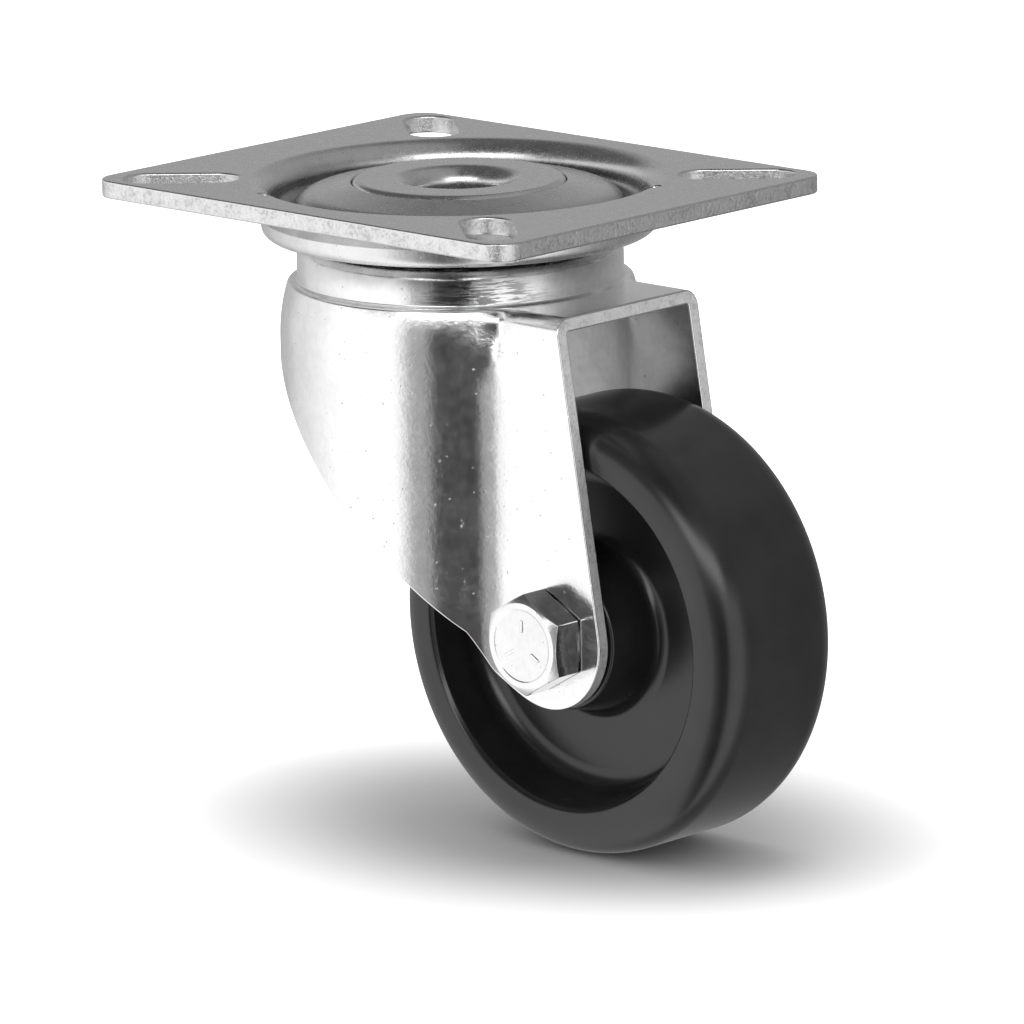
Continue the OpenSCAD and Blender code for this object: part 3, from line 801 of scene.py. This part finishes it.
def turned_piece(section, place, ring, material, names, fine=FINE):
    """A piece that is one closed section, turned. The names are its own, its body's, node's and slot's, and
    the slot's is not used.
    """
    skin = Skin()
    revolve(skin, rounded(section, fine=fine), place, circle_turns(ring))
    skin.piece(*names, material)


def both_ends(half):
    """A closed section from the half of it that lies on the near side of the middle."""
    return half + [(u, -w, r) for u, w, r in half[::-1]]


def king_rivet(material):
    section = [
        (RIVET_BORE_R, RIVET_FOOT_Z, 1.8),
        (RIVET_FOOT_R, RIVET_FOOT_Z, 0.85),
        (RIVET_FOOT_R, LAND_UNDER_Z, 0.85),
        (RIVET_TUBE_R, LAND_UNDER_Z, 0.1),
        (RIVET_TUBE_R, SEAT_Z, 0.1),
        (RIVET_FLANGE_R, SEAT_Z, 0.1),
        (RIVET_FLANGE_R, RIVET_TOP_Z, 1.3),
        (RIVET_BORE_R, RIVET_TOP_Z, 3.25),
    ]
    names = ("hollow_rivet", "plate", "king_rivet", "plate_zinc")
    turned_piece(section, round_swivel, RIVET_RING, material, names)


def lower_race(material):
    section = [
        (RIVET_HOLE_R, LAND_UNDER_Z, 0.1),
        (LAND_UNDER_R, LAND_UNDER_Z, 1),
        (LAND_UNDER_R + RACE_DISH, RACE_Z - SHEET_T, 1),
        (RACE_R, RACE_Z - SHEET_T, 0.3),
        (RACE_R, RACE_Z, 0.3),
        *track(LOWER_PITCH_R, RACE_Z, -1),
        (LAND_R + RACE_DISH, RACE_Z, 1),
        (LAND_R, LAND_Z, 1),
        (RIVET_HOLE_R, LAND_Z, 0.1),
    ]
    names = ("race_ring", "plate", "lower_race", "race_steel")
    turned_piece(section, round_swivel, RACE_RING, material, names)


def wheel(material):
    half = [
        (BORE_R, -HUB_Y, 0.4),
        (HUB_R, -HUB_Y, 0.6),
        (HUB_ROOT_R, -WEB_Y, 2.5),
        (WEB_R, -WEB_Y, 4),
        (RIM_IN_R, -TREAD_Y + RIM_BEVEL_Y, 0.8),
        (RIM_IN_R + RIM_BEVEL_R, -TREAD_Y, 0.9),
        (WHEEL_R, -TREAD_Y, 6.4),
    ]
    names = ("moulded_wheel", "wheel", "wheel", "wheel_black")
    turned_piece(both_ends(half), round_axle, WHEEL_RING, material, names, fine=WHEEL_FINE)


def axle_sleeve(material):
    half = [(SLEEVE_IN_R, -SLEEVE_Y, 0.2), (SLEEVE_R, -SLEEVE_Y, 0.3)]
    names = ("sleeve_tube", "fork", "axle_sleeve", "sleeve_steel")
    turned_piece(both_ends(half), round_axle, SLEEVE_RING, material, names)


def hexagon():
    """Outline of a hexagon with softened corners, two of them along Z."""
    angles = [radians(30 + 60 * i) for i in range(6)]
    corners = [(HEX_R * cos(angle), HEX_R * sin(angle), 0.3) for angle in angles]
    return refined(rounded(corners), 0.5)[:-1]


def hex_bar(skin, corners, closed):
    """A bar whose corners with a radius of None follow the hexagon. The others are round."""
    rows = []
    for u, w, nu, nw in hexagon():
        out = Vector((u, w))
        level = Vector((nu, nw))
        here = [(out.length if r is None else r, along, soft) for r, along, soft in corners(out.length)]
        row = []
        for r, along, side, up in rounded(here, closed):
            # Upright parts of the hexagon look straight out from its flats, and the rest out from the axle
            flat = max(0, min(1, (abs(side) - 0.6) / 0.3)) if r > HEX_AF / 2 - 0.1 else 0
            way = out.normalized() * (1 - flat) + level * flat
            at = out.normalized() * r
            row.append(skin.point((AXLE_X + at.x, along, AXLE_Z + at.y), (way.x * side, up, way.y * side)))
        rows.append(row)
    skin.closed_bands(rows)


def bevel_fall(reach):
    """How far a hexagon's bevel has fallen at that reach from the axle."""
    return (reach - HEX_FACE_R) * tan(radians(HEX_BEVEL))


def head_corners(reach):
    """Section of the bolt's head, from the middle of its face round to the shank."""
    return [
        (0, HEAD_Y + DISH_DEPTH, 0),
        (DISH_R, HEAD_Y + DISH_DEPTH, 0.3),
        (DISH_R + DISH_RIM, HEAD_Y, 0.3),
        (HEX_FACE_R, HEAD_Y, 0.25),
        (None, HEAD_Y + bevel_fall(reach), 0.2),
        (None, HEAD_BACK_Y, 0.1),
        (HEX_FACE_R, HEAD_BACK_Y, 0.05),
        (HEX_FACE_R, -EAR_Y, 0.1),
        (BOLT_R, -EAR_Y, 0.1),
        (BOLT_R, SHANK_FROM, 0),
    ]


def nut_corners(reach):
    """Section of the lock nut, from its bore round hexagon and collar to the pocket of its insert."""
    return [
        (NUT_BORE_R, EAR_Y, 0.3),
        (HEX_FACE_R, EAR_Y, 0.1),
        (None, EAR_Y + bevel_fall(reach), 0.2),
        (None, NUT_HEX_Y - bevel_fall(reach), 0.2),
        (HEX_FACE_R, NUT_HEX_Y, 0.1),
        (COLLAR_R, NUT_HEX_Y, 0.1),
        (COLLAR_R, COLLAR_Y, 0.9),
        (NUT_BORE_R, COLLAR_Y, 0.1),
        (NUT_BORE_R, POCKET_TO, 0.05),
        (POCKET_R, POCKET_TO, 0.1),
        (POCKET_R, POCKET_FROM, 0.1),
        (NUT_BORE_R, POCKET_FROM, 0.1),
    ]


def axle_bolt(material):
    skin = Skin()
    hex_bar(skin, head_corners, False)
    turns = [atan2(w, u) for u, w, _, _ in hexagon()]
    revolve(skin, [(BOLT_R, SHANK_FROM, 1, 0), (BOLT_R, THREAD_FROM, 1, 0)], round_axle, turns)
    thread(skin, turns)
    for turn in circle_turns(TICKS):
        tick(skin, turn + pi / 2)
    skin.piece("hex_bolt", "fork", "axle_bolt", "bolt_zinc", material)


def thread(skin, turns):
    """The threaded end of the bolt, with its bevel."""
    count = round((BOLT_END - THREAD_FROM) / PITCH * STEPS_A_PITCH)
    rows = []
    for turn in turns:
        row = []
        for i in range(count + 1):
            along = THREAD_FROM + (BOLT_END - THREAD_FROM) * i / count
            phase = (along / PITCH - turn / (2 * pi)) % 1
            groove = max(0, min(1, abs(phase - 0.5) * 2.6 - 0.15))
            run_out = min(1, (along - THREAD_FROM) / PITCH)
            bevel = max(0, along - BOLT_END + BOLT_BEVEL)
            r = min(BOLT_R - THREAD_DEPTH * groove * run_out, BOLT_R - bevel)
            row.append(skin.point(round_axle(r, turn, along), (cos(turn), 0, sin(turn)), i > 0))
        row.append(skin.point(round_axle(0, 0, BOLT_END), (0, 1, 0)))
        rows.append(row)
    skin.closed_bands(rows)


def tick(skin, turn):
    """A low radial bar on the bolt's face."""
    out = Vector((cos(turn), 0, sin(turn)))
    aside = Vector((-sin(turn), 0, cos(turn)))
    middle = Vector((AXLE_X, 0, AXLE_Z))
    rings = []
    for along, inset in ((TICK_FOOT_Y, 0), (HEAD_Y + 0.05, 0.02), (HEAD_Y, 0.12)):
        near, far, half = TICK_FROM + inset, TICK_TO - inset, TICK_HALF - inset
        bar = rounded([(near, -half, 0.15), (far, -half, 0.15), (far, half, 0.15), (near, half, 0.15)])
        wall = inset < 0.1
        ring = []
        for u, w, nu, nw in bar:
            level = out * nu + aside * nw if wall else Vector((0, inset - 1, 0))
            ring.append(skin.point(middle + out * u + aside * w + Vector((0, along, 0)), level))
        rings.append(ring)
    for a, b in zip(rings, rings[1:]):
        skin.band(a, b)
    skin.face(*rings[-1])
    skin.face(*rings[0][::-1])


def lock_nut(material):
    skin = Skin()
    hex_bar(skin, nut_corners, True)
    skin.piece("hex_lock_nut", "fork", "lock_nut", "nut_zinc", material)


def lock_nut_insert(material):
    r, low, high = POCKET_R - INSERT_GAP, POCKET_FROM + INSERT_GAP, POCKET_TO - INSERT_GAP
    section = [(NUT_BORE_R, low, 0.15), (r, low, 0.15), (r, high, 0.15), (NUT_BORE_R, high, 0.15)]
    names = ("nylon_ring", "fork", "lock_nut_insert", "insert_nylon")
    turned_piece(section, round_axle, INSERT_RING, material, names)


class SheetFace:
    """A face of the fork's sheet, unrolled: s runs along its plan from ear to back, v runs down."""

    def __init__(self, depth, bend, top, ledge_round):
        self.depth = depth
        self.bend = bend
        self.top = top
        self.ledge_round = ledge_round
        self.shell_r = SHELL_R - depth
        inner = self.shell_r - ledge_round
        rise = top - ledge_round - SHELL_Z
        self.ledge_r = sqrt(inner ** 2 - rise ** 2)
        self.ledge_z = SHELL_Z + rise * self.shell_r / inner

    def plan(self, s):
        """Point and normal of the upright wall's outer face, seen from above."""
        if s <= 0:
            return Vector((CORNER[0] - s, EAR_Y)), Vector((0, 1))
        if s < CORNER_LENGTH:
            out = Vector((sin(s / CORNER_R), cos(s / CORNER_R)))
            return Vector(CORNER) - out * CORNER_R, out
        turn = CORNER_AT + (s - CORNER_LENGTH) / SHELL_R
        out = Vector((cos(turn), sin(turn)))
        return out * SHELL_R, out

    def along(self, x):
        """The s at which the face has that x, low on the wall."""
        reach = CORNER_R + self.depth
        if x > CORNER[0]:
            return CORNER[0] - x
        if CORNER[0] - x < reach * sin(CORNER_TURN):
            return CORNER_R * asin((CORNER[0] - x) / reach)
        return CORNER_LENGTH + SHELL_R * (acos(x / self.shell_r) - CORNER_AT)

    def x_at(self, s):
        point, out = self.plan(s)
        return point.x - out.x * self.depth

    def height(self, v):
        straight = self.bend * pi / 2
        if v < straight:
            return self.top - self.bend * (1 - cos(v / self.bend))
        return self.top - self.bend - (v - straight)

    def down(self, z):
        """The v of a height."""
        if z > self.top - self.bend:
            return self.bend * acos(max(-1, 1 - (self.top - z) / self.bend))
        return self.bend * pi / 2 + self.top - self.bend - z

    def set_in(self, s, z):
        """How far the face lies in from the upright wall."""
        rise = max(0, z - self.top + self.bend)
        at_ear = self.bend - sqrt(max(0, self.bend ** 2 - rise ** 2))
        if z > self.ledge_z:
            middle = self.top - self.ledge_round
            at_shell = self.shell_r - self.ledge_r - sqrt(max(0, self.ledge_round ** 2 - (z - middle) ** 2))
        else:
            at_shell = self.shell_r - sqrt(self.shell_r ** 2 - max(0, z - SHELL_Z) ** 2)
        share = smooth((s + BLEND_BEFORE) / (CORNER_LENGTH + (BLEND_BEFORE + BLEND_AFTER)))
        return at_ear * (1 - share) + at_shell * share

    def at(self, s, v):
        z = self.height(v)
        point, out = self.plan(s)
        point = point - out * (self.depth + self.set_in(s, z))
        point.y += self.hollow_fill(*point, z)
        return Vector((*point, z))

    def hollow_fill(self, x, y, z):
        """How far the soft hollow between shell and ear stands out past the tight one."""
        above = smooth((z - WIDE_ABOVE_Z) / WIDE_RISE)
        below = smooth((self.top - BEND_R - z) / FILL_FADE)
        return max(self.hollow_rise(x, y, NARROW_R), self.hollow_rise(x, y, WIDE_R) * above) * below

    def hollow_rise(self, x, y, r):
        """The same for a hollow of one radius, which touches the shell and the ear."""
        middle_x = sqrt((SHELL_R + r) ** 2 - (EAR_Y + r) ** 2)
        if not middle_x * self.shell_r / (SHELL_R + r) < x < middle_x:
            return 0
        return max(0, EAR_Y + r - sqrt((r + self.depth) ** 2 - (middle_x - x) ** 2) - y)

    def seat(self, s, v):
        """Place and normal. The outer face looks outward and up, the inner one inward and down."""
        small = 0.002
        here = self.at(s, v)
        aside = self.at(s + small, v) - self.at(s - small, v)
        below = self.at(s, v + small) - here
        out = aside.cross(below).normalized()
        _, level = self.plan(s)
        toward = Vector((level.x, level.y, 0.5))
        if (out.dot(toward) < 0) == (self.depth == 0):
            out = -out
        return here, out


OUTSIDE = SheetFace(0, BEND_R, SHOULDER_Z, LEDGE_ROUND)
INSIDE = SheetFace(SHEET_T, BEND_IN_R, SHOULDER_UNDER_Z, LEDGE_IN_ROUND)
FACES = (OUTSIDE, INSIDE)


def touch(start, side):
    """Point where a line from start touches the ear's round."""
    away = Vector(start) - Vector((AXLE_X, AXLE_Z))
    turn = atan2(away.y, away.x) + side * acos(EAR_R / away.length)
    return Vector((AXLE_X, AXLE_Z)) + EAR_R * Vector((cos(turn), sin(turn))), turn


def trim_height(x):
    """Height of the fork's lower edge behind the ears."""
    heel, _ = touch(KNEE, 1)
    if x > KNEE[0]:
        return KNEE[1] + (heel.y - KNEE[1]) * (x - KNEE[0]) / (heel.x - KNEE[0])
    slope = tan(radians(SLOPE))
    skirt_x = KNEE[0] - (SKIRT_Z - KNEE[1]) / slope
    reach = SKIRT_ROUND * tan(radians(SLOPE / 2))
    if x > skirt_x + reach * cos(radians(SLOPE)):
        return KNEE[1] + (KNEE[0] - x) * slope
    return SKIRT_Z - SKIRT_ROUND + sqrt(SKIRT_ROUND ** 2 - max(0, x - skirt_x + reach) ** 2)


def cut_line():
    """One side of the fork's cut edge, from the shelf down and round to the back: (s, v) on each face."""
    toe, toe_turn = touch((SHELF_X, OUTSIDE.top), -1)
    heel, heel_turn = touch(KNEE, 1)
    lean = (toe.x - SHELF_X) / (OUTSIDE.top - toe.y)
    bend_z = OUTSIDE.top - OUTSIDE.bend
    line = []

    def upright(heights):
        along = [CORNER[0] - SHELF_X - lean * (OUTSIDE.top - z) for z in heights]
        line.append([(s, face.down(z)) for s, face, z in zip(along, FACES, heights)])

    def level(x, heights):
        line.append([(face.along(x), face.down(z)) for face, z in zip(FACES, heights)])

    for i in range(BEND_STEPS + 1):
        rise = cos(pi / 2 * i / BEND_STEPS)
        upright([face.top - face.bend * (1 - rise) for face in FACES])
    for i in range(1, FRONT_STEPS + 1):
        z = bend_z + (toe.y - bend_z) * i / FRONT_STEPS
        upright([z, z])
    sweep = (heel_turn - toe_turn) % (2 * pi) - 2 * pi
    for i in range(1, EAR_STEPS + 1):
        turn = toe_turn + sweep * i / EAR_STEPS
        z = AXLE_Z + EAR_R * sin(turn)
        level(AXLE_X + EAR_R * cos(turn), [z, z])
    for i in range(1, HEEL_STEPS + 1):
        x = heel.x + (KNEE[0] - heel.x) * i / HEEL_STEPS
        level(x, [trim_height(x), trim_height(x)])
    back = CORNER_LENGTH + SHELL_R * (pi - CORNER_AT)
    for i in range(1, REAR_STEPS + 1):
        pair = []
        for face in FACES:
            start = face.along(KNEE[0])
            s = start + (back - start) * i / REAR_STEPS
            pair.append((s, face.down(trim_height(face.x_at(s)))))
        line.append(pair)
    return line


def set_back(line, distance):
    """A line moved sideways by distance, to its left as it runs."""
    moved = []
    for k, point in enumerate(line):
        here = Vector(point)
        come = (here - Vector(line[k - 1])).normalized() if k else None
        ahead = (Vector(line[k + 1]) - here).normalized() if k < len(line) - 1 else None
        come = come or ahead
        ahead = ahead or come
        mid = (come + ahead).normalized()
        widen = 1 / max(0.5, mid.dot(come))
        moved.append(tuple(here + Vector((-mid.y, mid.x)) * distance * widen))
    return moved


def swivel_fork(*materials):
    skin = Skin()
    line = cut_line()
    back = line[-1][0][0]
    rims = []
    holes = []
    tops = []
    for side in range(len(FACES)):
        rim, hole, top = fork_wall(skin, side, [pair[side] for pair in line], back)
        rims.append(rim)
        holes.append(hole)
        tops.append(top)
    turns = circle_turns(FORK_RING)
    for side, r in enumerate((FLAT_IN_R, FLAT_UNDER_R)):
        arc = [Vector((r * cos(t), r * sin(t))) for t in turns[: FORK_RING // 2 + 1]]
        rims[side] = fork_shelf(skin, side, rims[side], tops[side], arc)
    edge(skin, list(zip(*rims)), EDGE_ROUND)
    edge(skin, list(zip(*holes)), EDGE_ROUND, closed=True)
    skin.mirror()
    crown(skin, turns)
    skin.piece("pressed_fork", "fork", "swivel_fork", "fork_zinc", *materials)


def fork_wall(skin, side, corners, back):
    """A face of the wall below the shelf. Gives the rims of its cut edge and its hole, and its top."""
    face = FACES[side]
    inner = set_back(corners, -EDGE_ROUND)
    inner[0] = (corners[0][0] + EDGE_ROUND, 0)
    inner[-1] = (back, inner[-1][1])
    wide = axle_hole(face, HOLE_R + EDGE_ROUND)
    ear_columns = [inner[0][0] * (1 - i / EAR_COLUMNS) for i in range(EAR_COLUMNS)]
    columns = ear_columns + [back * i / COLUMNS for i in range(COLUMNS + 1)]
    top = [(s, 0) for s in columns]
    rear = [(back, v) for v in grid_rows(face) if 0 < v < inner[-1][1] - 0.2]
    # The inner face takes the darker copy of the fork's zinc: painted shade
    skin.finish = 2 * side
    fill(skin, [inner[::-1] + top[1:] + rear, wide], grid_points(face, columns, corners), face.seat)
    skin.finish = 0
    rim = [(face.at(*corner), *face.seat(*near)) for corner, near in zip(corners, inner)]
    hole = [(face.at(*corner), *face.seat(*near)) for corner, near in zip(axle_hole(face, HOLE_R), wide)]
    return rim, hole, [face.at(s, 0) for s, _ in top]


def axle_hole(face, r):
    """A circle round the axle on the face of the ear, as (s, v)."""
    s, v = CORNER[0] - AXLE_X, face.down(AXLE_Z)
    return [(s + r * cos(t), v + r * sin(t)) for t in circle_turns(HOLE_RING)]


def fork_shelf(skin, side, rim, top, arc):
    """One face of the level shelf and shoulder. Gives the rim with the shelf's front edge added."""
    face = FACES[side]
    level = Vector((0, 0, 1 - 2 * side))
    corner, near, _ = rim[0]
    shifts = [Vector((0, -corner.y * i / SHELF_STEPS, 0)) for i in range(SHELF_STEPS, 0, -1)]
    front = [(corner + shift, near + shift, level) for shift in shifts]
    loop = [place.xy for _, place, _ in front] + [p.xy for p in top] + arc[::-1]
    # The underside takes the darker copy of the fork's zinc: painted shade
    skin.finish = 2 * side
    fill(skin, [loop], [], lambda u, w: ((u, w, face.top), level))
    skin.finish = 0
    return front + rim


def crown(skin, turns):
    """The neck and crown of the fork, turned, with both ball tracks."""
    path = rounded(
        [
            (FLAT_IN_R, SHOULDER_Z, 0),
            (NECK_R, SHOULDER_Z, 0.5),
            (NECK_R, CROWN_Z, 3),
            *track(UPPER_PITCH_R, CROWN_Z, -1),
            (CROWN_HOLE_R, CROWN_Z, 0.3),
            (CROWN_HOLE_R, CROWN_UNDER_Z, 0.3),
            *track(LOWER_PITCH_R, CROWN_UNDER_Z, 1),
            (NECK_R - SHEET_T, CROWN_UNDER_Z, 0.6),
            (NECK_R - SHEET_T, SHOULDER_UNDER_Z, 1.2),
            (FLAT_UNDER_R, SHOULDER_UNDER_Z, 0),
        ],
        closed=False,
    )
    revolve(skin, path, round_swivel, turns)


def grid_rows(face):
    """How far down the fork's face its rows of corners lie: closer where it curves."""
    bend = face.bend * pi / 2
    shell = face.down(SHELL_Z)
    rows = [bend * i / BEND_ROWS for i in range(1, BEND_ROWS + 1)]
    rows += [bend + (shell - bend) * i / SWELL_ROWS for i in range(1, SWELL_ROWS + 1)]
    return rows + [shell + LOW_STEP * i for i in range(1, LOW_ROWS + 1)]


def grid_points(face, columns, corners):
    """Corners inside the fork's face, clear of its cut edge."""
    points = []
    lowest = {}
    for s, v in corners:
        lowest[floor(s)] = min(lowest.get(floor(s), PAST_EDGE), v)
    ear_back = CORNER[0] - AXLE_X + EAR_R
    for s in columns:
        near = (-1, 0, 1) if s > ear_back - 2 else ()
        edge_v = min([lowest.get(floor(s) + k, PAST_EDGE) for k in near], default=PAST_EDGE)
        for v in grid_rows(face):
            on_flat_ear = s < -1 and v > face.bend * pi / 2 + 0.1
            inside = corners[0][0] + EDGE_ROUND + 0.2 < s < columns[-1] - 0.01
            if inside and not on_flat_ear and v < edge_v - GRID_CLEAR:
                points.append((s, v))
    return points


def dress_frame():
    """Adds the finer pieces, and gives every node of the frame its finish."""
    plate = zinc("plate_zinc", level=0.82, rough=0.28, wear_and_shade=channel_painted_shade)
    fork = zinc("fork_zinc", level=0.93, rough=0.18, wear_and_shade=neck_scuffs_and_shade)
    # The inner face of the fork's sheet gets a darker copy of the fork's zinc, as painted shade
    inside = zinc("fork_inside_painted_shade", level=0.36, rough=0.4)
    sheared = sheared_steel("sheared_plate", level=0.8, bright=1.0)
    torn = sheared_steel("sheared_fork", level=0.8, bright=0.66)
    black = moulded_plastic("wheel_black", dark=0.009, light=0.013, rough=0.25)
    nylon = moulded_plastic("insert_nylon", dark=0.62, light=0.7, rough=0.42)
    race = zinc("race_zinc", level=0.72, rough=0.3)
    sleeve = zinc("sleeve_steel", level=0.55, rough=0.36)
    bolt = zinc("bolt_zinc", level=0.9, rough=0.16, wear_and_shade=bolt_sides_painted_shade)
    nut = zinc("nut_zinc", level=0.8, rough=0.24)
    balls = zinc("ball_steel", level=0.62, rough=0.08, blotch=0.02, relief=0.3)
    # Each piece's function has the name of the node that it replaces
    pieces = (
        (top_plate, plate, sheared),
        (king_rivet, plate),
        (lower_race, race),
        (swivel_fork, fork, torn, inside),
        (wheel, black),
        (axle_sleeve, sleeve),
        (axle_bolt, bolt),
        (lock_nut, nut),
        (lock_nut_insert, nylon),
    )
    finishes = {}
    for make, *materials in pieces:
        make(*materials)
        finishes[make.__name__] = materials[0]
    for name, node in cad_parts.items():
        node.data.materials.clear()
        node.data.materials.append(finishes.get(name, balls))


camera()
bpy.context.scene.view_settings.view_transform = "Standard"
studio()
overhead_lamp()
white_floor()
dress_frame()
